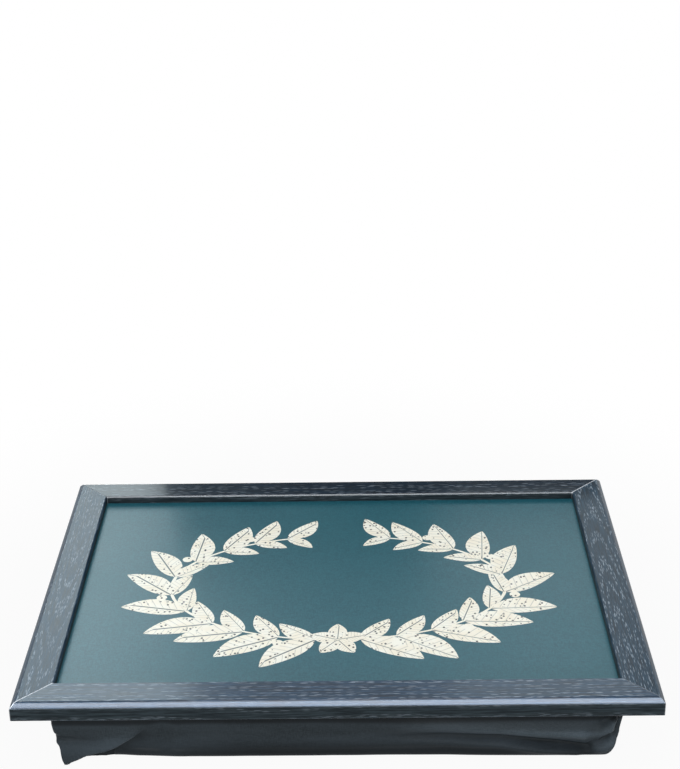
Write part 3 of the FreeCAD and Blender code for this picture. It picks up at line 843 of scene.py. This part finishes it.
def let_fall(piece):
    table = flat_sheet("table_top", TABLE_SIZE, -TABLE_DROP)
    table.modifiers.new("stop", "COLLISION")
    table.collision.thickness_outer = CLOTH_GAP
    table.collision.cloth_friction = 5
    cloth = piece.modifiers.new("cloth", "CLOTH")
    cloth.point_cache.frame_end = FRAMES
    cloth.collision_settings.distance_min = CLOTH_GAP
    stuff = cloth.settings
    stuff.quality, stuff.mass, stuff.air_damping = 6, 0.15, 4
    stuff.tension_stiffness = stuff.compression_stiffness = 15
    stuff.shear_stiffness, stuff.bending_stiffness = 6, 0.3
    stuff.tension_damping = stuff.compression_damping = stuff.shear_damping = 8
    stuff.use_pressure, stuff.uniform_pressure_force = True, 3
    stuff.vertex_group_mass, stuff.pin_stiffness = "tucked", 1.0
    stuff.vertex_group_shrink, stuff.shrink_min, stuff.shrink_max = "gathered", -0.035, -0.24
    stuff.effector_weights.gravity = 0.3
    for moment in range(1, FRAMES + 1):
        scene.frame_set(moment)
    apply_modifiers(piece)
    scene.frame_set(1)
    bpy.data.objects.remove(table)


let_fall(cushion)
fallen = read_points(cushion.data)
print("the cloth moved by up to", round(np.linalg.norm(fallen - slack, axis=1).max(), 4), "m")

# %% [markdown]
# ## Folds in their places
# The simulation gives the slack, but its folds don't lie where those of the real cushion do. So the cloth is
# settled on the table, calmed and made finer in front, and then the folds are pressed into it along lines:
# one lap beside the hanging corner, a long sag to the right, and gathers in the corners.

# %% Settle it on the table
LOWEST = 0.0003
MOST_MOVE, SETTLE, SETTLE_BELOW = 0.012, 0.003, 0.022
RIM_BELOW, RIM_FROM_EAR, RIM_TURNS = 0.011, 0.03, 8
FRONT_LEFT, FRONT_RIGHT, FRONT_LOW, FRONT_TURNS = -0.115, 0.19, 0.006, 40


def set_down(mesh, points):
    """Writes the points back, with none of them below the table or above the hem."""
    write_points(mesh, np.clip(points, (-1, -1, LOWEST), (1, 1, HEM_TOP)))


def reshape(mesh, change, *given):
    shape = bmesh.new()
    shape.from_mesh(mesh)
    change(shape, *given)
    shape.to_mesh(mesh)
    shape.free()


def calm(shape, chosen, turns, axes="xyz"):
    ways = {f"use_axis_{axis}": True for axis in axes}
    for turn in range(turns):
        bmesh.ops.smooth_vert(shape, verts=chosen, factor=0.5, **ways)


def from_ear(vert):
    return (vert.co - Vector(EAR_TIP)).length


def calm_rim_and_front(shape):
    rim = [vert for vert in shape.verts if vert.co.z < RIM_BELOW and from_ear(vert) > RIM_FROM_EAR]
    calm(shape, rim, RIM_TURNS)
    front = [vert for vert in shape.verts if vert.normal.y < -0.3
             and FRONT_LEFT < vert.co.x < FRONT_RIGHT and FRONT_LOW < vert.co.z < FOOT]
    calm(shape, front, FRONT_TURNS, "y")


moved = fallen - slack
far = np.linalg.norm(moved, axis=1)
settled = slack + moved * np.minimum(1, MOST_MOVE / np.maximum(far, 1e-9))[:, None]
settled[:, 2] -= SETTLE * ease(1 - settled[:, 2] / SETTLE_BELOW)
set_down(cushion.data, settled)
reshape(cushion.data, calm_rim_and_front)
smooth = cushion.modifiers.new("smooth_cloth", "SUBSURF")
smooth.levels = smooth.render_levels = 1
apply_modifiers(cushion)
cushion.data.shade_smooth()
print("settled, with", len(cushion.data.vertices), "points")

# %% Finer cloth in front
FRONT_FACING, CORNER_X, CORNER_Y = -0.35, 0.185, -0.11
EAR_X, EAR_Y, EAR_Z = -0.155, -0.13, 0.036


def at_front(normal, spot):
    return spot.z < FOOT and (normal.y < FRONT_FACING or (abs(spot.x) > CORNER_X and spot.y < CORNER_Y))


def at_ear(normal, spot):
    return spot.z < EAR_Z and spot.x < EAR_X and spot.y < EAR_Y


def make_finer(shape, chosen):
    seen = [face for face in shape.faces if chosen(face.normal, face.calc_center_median())]
    split = {edge.index: edge for face in seen for edge in face.edges}
    bmesh.ops.subdivide_edges(shape, edges=list(split.values()), cuts=1, use_grid_fill=True)
    for face in shape.faces:
        face.smooth = True


for chosen in (at_front, at_ear):
    reshape(cushion.data, make_finer, chosen)
print("finer in front, with", len(cushion.data.vertices), "points")

# %% Valleys, ridges and laps
FAR, SAME_SIDE = 9.0, 0.02
FADE_ABOVE_TABLE, FADE_ALONG, FADE_AT_END = 0.012, 0.65, 4
LAP_EDGE, LAP_FADE_AT_END = 0.0011, 2.5


def along_line(points, facing, line):
    """For each point: how far it lies from the line over the cloth, on which side, and how far along."""
    line = np.array(line)
    nearest, side, gone = np.full(len(points), FAR), np.ones(len(points)), np.zeros(len(points))
    for number, (start, stop) in enumerate(zip(line, line[1:])):
        run = stop - start
        share = np.clip((points - start) @ run / (run @ run), 0, 1)
        gap = points - start - share[:, None] * run
        out = (gap * facing).sum(1)
        apart = np.linalg.norm(gap - out[:, None] * facing, axis=1) + FAR * (abs(out) > SAME_SIDE)
        closer = apart < nearest
        nearest = np.where(closer, apart, nearest)
        side = np.where(closer, np.sign((np.cross(facing, run) * gap).sum(1)), side)
        gone = np.where(closer, (number + share) / (len(line) - 1), gone)
    return nearest, side, gone


def press(points, facing, depth, width, line):
    """The height of a valley pressed along a line, or of a ridge where the depth is below zero."""
    nearest, side, gone = along_line(points, facing, line)
    fading = ease((1 - gone) * FADE_AT_END) * (1 - FADE_ALONG * gone)
    fading *= ramp(points[:, 2], 0, FADE_ABOVE_TABLE)
    return -depth * np.exp(-(nearest / width) ** 2) * fading


def lap(points, facing, height, proud, behind, line):
    """The height of a lap: the cloth stands proud on the line's left and falls back behind on its right."""
    nearest, side, gone = along_line(points, facing, line)
    reach = np.where(side > 0, proud, behind)
    step = side * np.exp(-nearest / reach) * np.tanh(nearest / LAP_EDGE)
    return height * step * ease((1 - gone) * LAP_FADE_AT_END)


# %% Where the folds lie
# The flap of the hanging corner laps over the cloth beside it.
LAPS = [
    (0.0030, 0.030, 0.014, ((-0.1763, -0.149, 0.0086), (-0.162, -0.149, 0.0152), (-0.1482, -0.149, 0.0246),
                            (-0.1364, -0.149, 0.0353))),
]
# A long fold sags towards the right: the upper cloth bulges, is tucked in under that, and swells again.
SAGS = [
    (-0.0050, 0.0052, ((0.178, -0.148, 0.0245), (0.150, -0.148, 0.0255), (0.118, -0.148, 0.0285),
                       (0.080, -0.148, 0.031), (0.010, -0.148, 0.033))),
    (0.0050, 0.0034, ((0.183, -0.147, 0.0105), (0.150, -0.148, 0.0148), (0.118, -0.148, 0.0205),
                      (0.080, -0.148, 0.0222), (0.010, -0.148, 0.024))),
    (-0.0028, 0.0034, ((0.175, -0.147, 0.0065), (0.150, -0.147, 0.009), (0.118, -0.147, 0.015),
                       (0.080, -0.147, 0.0165), (0.010, -0.147, 0.018))),
]
# The gathers of the front right corner, and a crease across the flap.
CORNER_GATHERS = [
    (0.0060, 0.0020, ((0.2046, -0.146, 0.046), (0.2030, -0.1465, 0.0327), (0.2022, -0.1465, 0.0225),
                      (0.2008, -0.145, 0.0155))),
    (0.0036, 0.0026, ((0.2025, -0.147, 0.046), (0.1965, -0.148, 0.035), (0.188, -0.148, 0.0325))),
    (-0.0046, 0.0036, ((0.2015, -0.147, 0.036), (0.198, -0.148, 0.0285), (0.1912, -0.148, 0.0245),
                       (0.176, -0.148, 0.024))),
    (0.0040, 0.0022, ((0.2000, -0.147, 0.0235), (0.1914, -0.147, 0.017), (0.180, -0.147, 0.0125))),
    (-0.0038, 0.0036, ((0.2010, -0.146, 0.023), (0.2002, -0.146, 0.0165), (0.193, -0.146, 0.0105),
                       (0.176, -0.146, 0.0085))),
    (0.0030, 0.0024, ((-0.207, -0.149, 0.0240), (-0.190, -0.150, 0.0232), (-0.168, -0.150, 0.0225))),
]
# The gathers of a back corner: how far each step lies in from the corner along one side and the other.
BACK_GATHERS = [
    (0.0022, 0.0032, ((0.003, 0.0005, 0.053), (0.010, 0.003, 0.030), (0.021, 0.006, 0.012))),
    (0.0020, 0.0036, ((0.011, 0.0003, 0.053), (0.025, 0.002, 0.033), (0.040, 0.005, 0.014))),
    (0.0014, 0.0036, ((0.021, 0.0002, 0.053), (0.045, 0.001, 0.037), (0.062, 0.003, 0.026))),
]
folds = [(lap, fold) for fold in LAPS] + [(press, fold) for fold in SAGS + CORNER_GATHERS]
for depth, width, line in BACK_GATHERS:
    for hand in (-1, 1):
        along_x = [(hand * (HEM_X - a), HEM_Y - b, height) for a, b, height in line]
        along_y = [(hand * (HEM_X - b), HEM_Y - a, height) for a, b, height in line]
        folds += [(press, (depth, width, along_x)), (press, (depth, width, along_y))]
print(len(folds), "folds")

# %% The ends' outlines
# Each outline gives the height and how far out the cloth reaches there. The ear's hem gives x and the height.
LEFT_END = ((0.0, 0.0085, 0.0201, 0.0246, 0.0377, 0.054),
            (0.2011, 0.2042, 0.2069, 0.2076, 0.2089, 0.2100))
RIGHT_END = ((0.0, 0.0047, 0.008, 0.0126, 0.0187, 0.037, 0.054),
             (0.194, 0.1977, 0.1998, 0.2024, 0.2045, 0.2075, 0.21))
EAR_HEM = ((-0.2011, -0.1937, -0.1838, -0.1763, -0.162), (0.0, 0.0017, 0.0066, 0.0086, 0.0152))
EAR_FACE, BEHIND_EAR, EAR_INNER = -0.1500, -0.1415, -0.165
EAR_FACE_FROM = (-0.145, -0.03)
EAR_EDGE, EAR_LEVELS, EAR_SLICE = -0.140, np.linspace(0.002, FOOT - 0.006, 26), 0.0016
FILL_FROM_X, FILL_FROM_Y = (-0.186, -0.012), (-0.120, -0.02)
NEAR_FRONT = -0.10
END_FROM = (-0.06, -0.05)


def trim_ear(points):
    """Cuts the hanging corner to its pointed hem and sets the cloth below the hem back."""
    x, y, z = points.T
    y = y + (y < NEAR_FRONT) * ramp(x, *EAR_FACE_FROM) * (np.maximum(y, EAR_FACE) - y)
    below = (x < EAR_INNER) & (y < NEAR_FRONT) & (z < np.interp(x, *EAR_HEM))
    return np.stack((x, np.where(below, np.maximum(y, BEHIND_EAR), y), z), axis=1)


def fill_ear_out(points):
    """Pulls the hanging corner's edge out to its outline wherever the cloth fell short of it."""
    x, y, z = points.T
    edge = (y < EAR_EDGE) & (x < 0)
    reached = np.array([np.max(-x[edge & (abs(z - height) < EAR_SLICE)]) for height in EAR_LEVELS])
    short = np.interp(z, EAR_LEVELS, np.maximum(np.interp(EAR_LEVELS, *LEFT_END) - reached, 0))
    share = ramp(x, *FILL_FROM_X) * ramp(y, *FILL_FROM_Y)
    return points - (short * share)[:, None] * np.array((1, 0, 0))


def draw_end_in(points, hand, outline):
    """Draws the front end of one short side in to its outline, and leaves its back as it fell."""
    over = np.maximum(hand * points[:, 0] - np.interp(points[:, 2], *outline), 0)
    over *= ramp(points[:, 1], *END_FROM)
    return points - over[:, None] * np.array((hand, 0, 0))


# %% Sharpen the ear and straighten the hem
TIP_REACH, TIP_PULL = 0.010, 0.8
HEM_PULL, HEM_FORWARD, FORWARD_FROM = 0.8, 0.002, (0.05, 0.1)
HEM_FACING, HEM_LOW, HEM_FROM = (-0.15, -0.25), (0.016, -0.008), (-0.165, 0.02)


def sharpen_tip(points):
    pull = TIP_PULL * nearness(points, EAR_TIP, TIP_REACH)
    return points + pull[:, None] * (EAR_TIP - points)


def straighten_hem(points, facing):
    """Draws the lower edge of the front onto one smooth curve, and a little forward on the right."""
    x, y, z = points.T
    low = ramp(facing[:, 1], *HEM_FACING) * ramp(z, *HEM_LOW) * ramp(x, *HEM_FROM)
    curve = np.polyfit(z[low > 0.5], y[low > 0.5], 3)
    move = low * (HEM_PULL * (np.polyval(curve, z) - y) - HEM_FORWARD * ramp(x, *FORWARD_FROM))
    return points + move[:, None] * np.array((0, 1, 0))


facing = read_points(cushion.data, "normal")
creased = straighten_hem(sharpen_tip(read_points(cushion.data)), facing)
print("the ear's tip is at", EAR_TIP)

# %% Fold it
END_TURNS, END_CLEAR, TIP_KEPT = 8, 0.002, 0.004
LEFT_SOFT, RIGHT_SOFT, RIGHT_SOFT_BELOW = -0.172, 0.185, 0.018


def calm_ends(shape):
    """Softens the ends of the front, but leaves the ear's tip sharp."""
    ends = [vert for vert in shape.verts if vert.co.y < NEAR_FRONT and vert.co.z < FOOT - END_CLEAR
            and (vert.co.x < LEFT_SOFT or (vert.co.x > RIGHT_SOFT and vert.co.z < RIGHT_SOFT_BELOW))
            and from_ear(vert) > TIP_KEPT]
    calm(shape, ends, END_TURNS)


proud = np.zeros(len(creased))
for make, fold in folds:
    height = make(creased, facing, *fold)
    creased = creased + facing * height[:, None]
    proud += height
creased = fill_ear_out(trim_ear(creased))
for hand, outline in ((-1, LEFT_END), (1, RIGHT_END)):
    creased = draw_end_in(creased, hand, outline)
set_down(cushion.data, creased)
reshape(cushion.data, calm_ends)
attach(cushion, "root")
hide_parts("cushion_cover", "bead_bag", "bead_fill")
print(cushion.name, len(cushion.data.polygons), "faces")

# %% [markdown]
# ## Charcoal sateen
# The cover is a smooth, close sateen. Its threads are about half a millimetre apart, so they only show as a
# soft tooth, and the folds carry the look. Light and shade are painted into the dye from how proud a point
# stands: painted light where the cloth stands proud, and painted shade in the valleys, on the flap, along the
# lower hem and under the rail as its painted shadow.

# %% How proud each point stands, and the light and shade painted from it
PAINTED_LIGHT_SCALE = 0.0054
PAINTED_LIGHT_LEAST, PAINTED_LIGHT_MOST = 0.3, 2.0
FLAP_EDGE = (EAR_HEM[0] + (-0.1482, -0.1364, -0.120), EAR_HEM[1] + (0.0246, 0.0353, 0.054))
FLAP_FACING, FLAP_FADE = (-0.3, -0.3), 0.003
HEM_PAINTED_SHADE_TOP, HEM_PAINTED_SHADE_FADE = ((0.10, 0.16), (0.024, 0.014)), ((0.10, 0.16), (0.022, 0.011))
HEM_PAINTED_SHADE_ALONG = ((-0.13, -0.06, 0.18, 0.195), (0.35, 1.0, 1.0, 0.3))
FLAP_SHADE, HEM_SHADE, RAIL_SHADE = 0.0006, 0.0085, 0.007
RAIL_SHADE_FROM, RAIL_SHADE_FADE = 0.0335, 0.004
x, z = creased[:, 0], creased[:, 2]
# Painted shade: the flap of the hanging corner is painted a little darker.
flap = ramp(facing[:, 1], *FLAP_FACING) * ramp(z - np.interp(x, *FLAP_EDGE), 0, FLAP_FADE)
# Painted shade: the cloth is painted darker towards the lower hem, except on the flap.
hem_painted_shade = ramp(z, np.interp(x, *HEM_PAINTED_SHADE_TOP), -np.interp(x, *HEM_PAINTED_SHADE_FADE))
hem_painted_shade *= (1 - flap) * np.interp(x, *HEM_PAINTED_SHADE_ALONG)
# Painted shadow: the cloth just under the rail is painted darker, as the rail's shadow.
rail_painted_shadow = ramp(z, RAIL_SHADE_FROM, RAIL_SHADE_FADE)
proud -= FLAP_SHADE * flap + HEM_SHADE * hem_painted_shade + RAIL_SHADE * rail_painted_shadow
# Painted light and shade: points that stand proud are painted lighter, points in valleys darker.
painted_light_factor = np.clip(np.exp(proud / PAINTED_LIGHT_SCALE), PAINTED_LIGHT_LEAST, PAINTED_LIGHT_MOST)
painted_fold_light = cushion.data.attributes.new("painted_fold_light", "FLOAT", "POINT")
painted_fold_light.data.foreach_set("value", painted_light_factor.astype(np.float32))
print("bloom from", round(painted_light_factor.min(), 2), "to", round(painted_light_factor.max(), 2))

# %% The cloth's finish
CROSS_THREADS, DOWN_THREADS, WORN_STREAKS = (300, 300, 2200), (2200, 2200, 260), (14, 14, 90)
DYE_DARK, DYE_PALE = (0.0165, 0.0212, 0.0238, 1), (0.0262, 0.0323, 0.0363, 1)
DYE_WORN, WORN_SHARE = (0.0345, 0.0425, 0.0485, 1), 0.5


def charcoal_sateen():
    finish, place, shader = new_finish("charcoal_sateen", Specular_IOR_Level=0.08, Sheen_Weight=0.06,
                                       Sheen_Roughness=0.35, Sheen_Tint=(0.62, 0.78, 1.0, 1))
    weave = place.stretch(CROSS_THREADS).noise() + place.stretch(DOWN_THREADS).noise()
    worn = place.stretch(WORN_STREAKS).noise(3.0).ease(0.32, 0.68)
    dye = weave.ease(0.75, 1.25).tint(DYE_DARK, DYE_PALE)
    dye = (worn * WORN_SHARE).tint(dye, DYE_WORN)
    # Painted light and shade: the dye is scaled by the attribute of light and shade painted from the folds.
    painted_fold_light = place.add("ShaderNodeAttribute", {"attribute_name": "painted_fold_light"}, out="Fac")
    dye = place.add("ShaderNodeVectorMath", {"operation": "SCALE"}, {0: dye, "Scale": painted_fold_light})
    feed(shader, Base_Color=dye, Roughness=worn * 0.08 + 0.52, Normal=weave.bump(0.3, 0.0001))
    return finish


wear(cushion, charcoal_sateen())
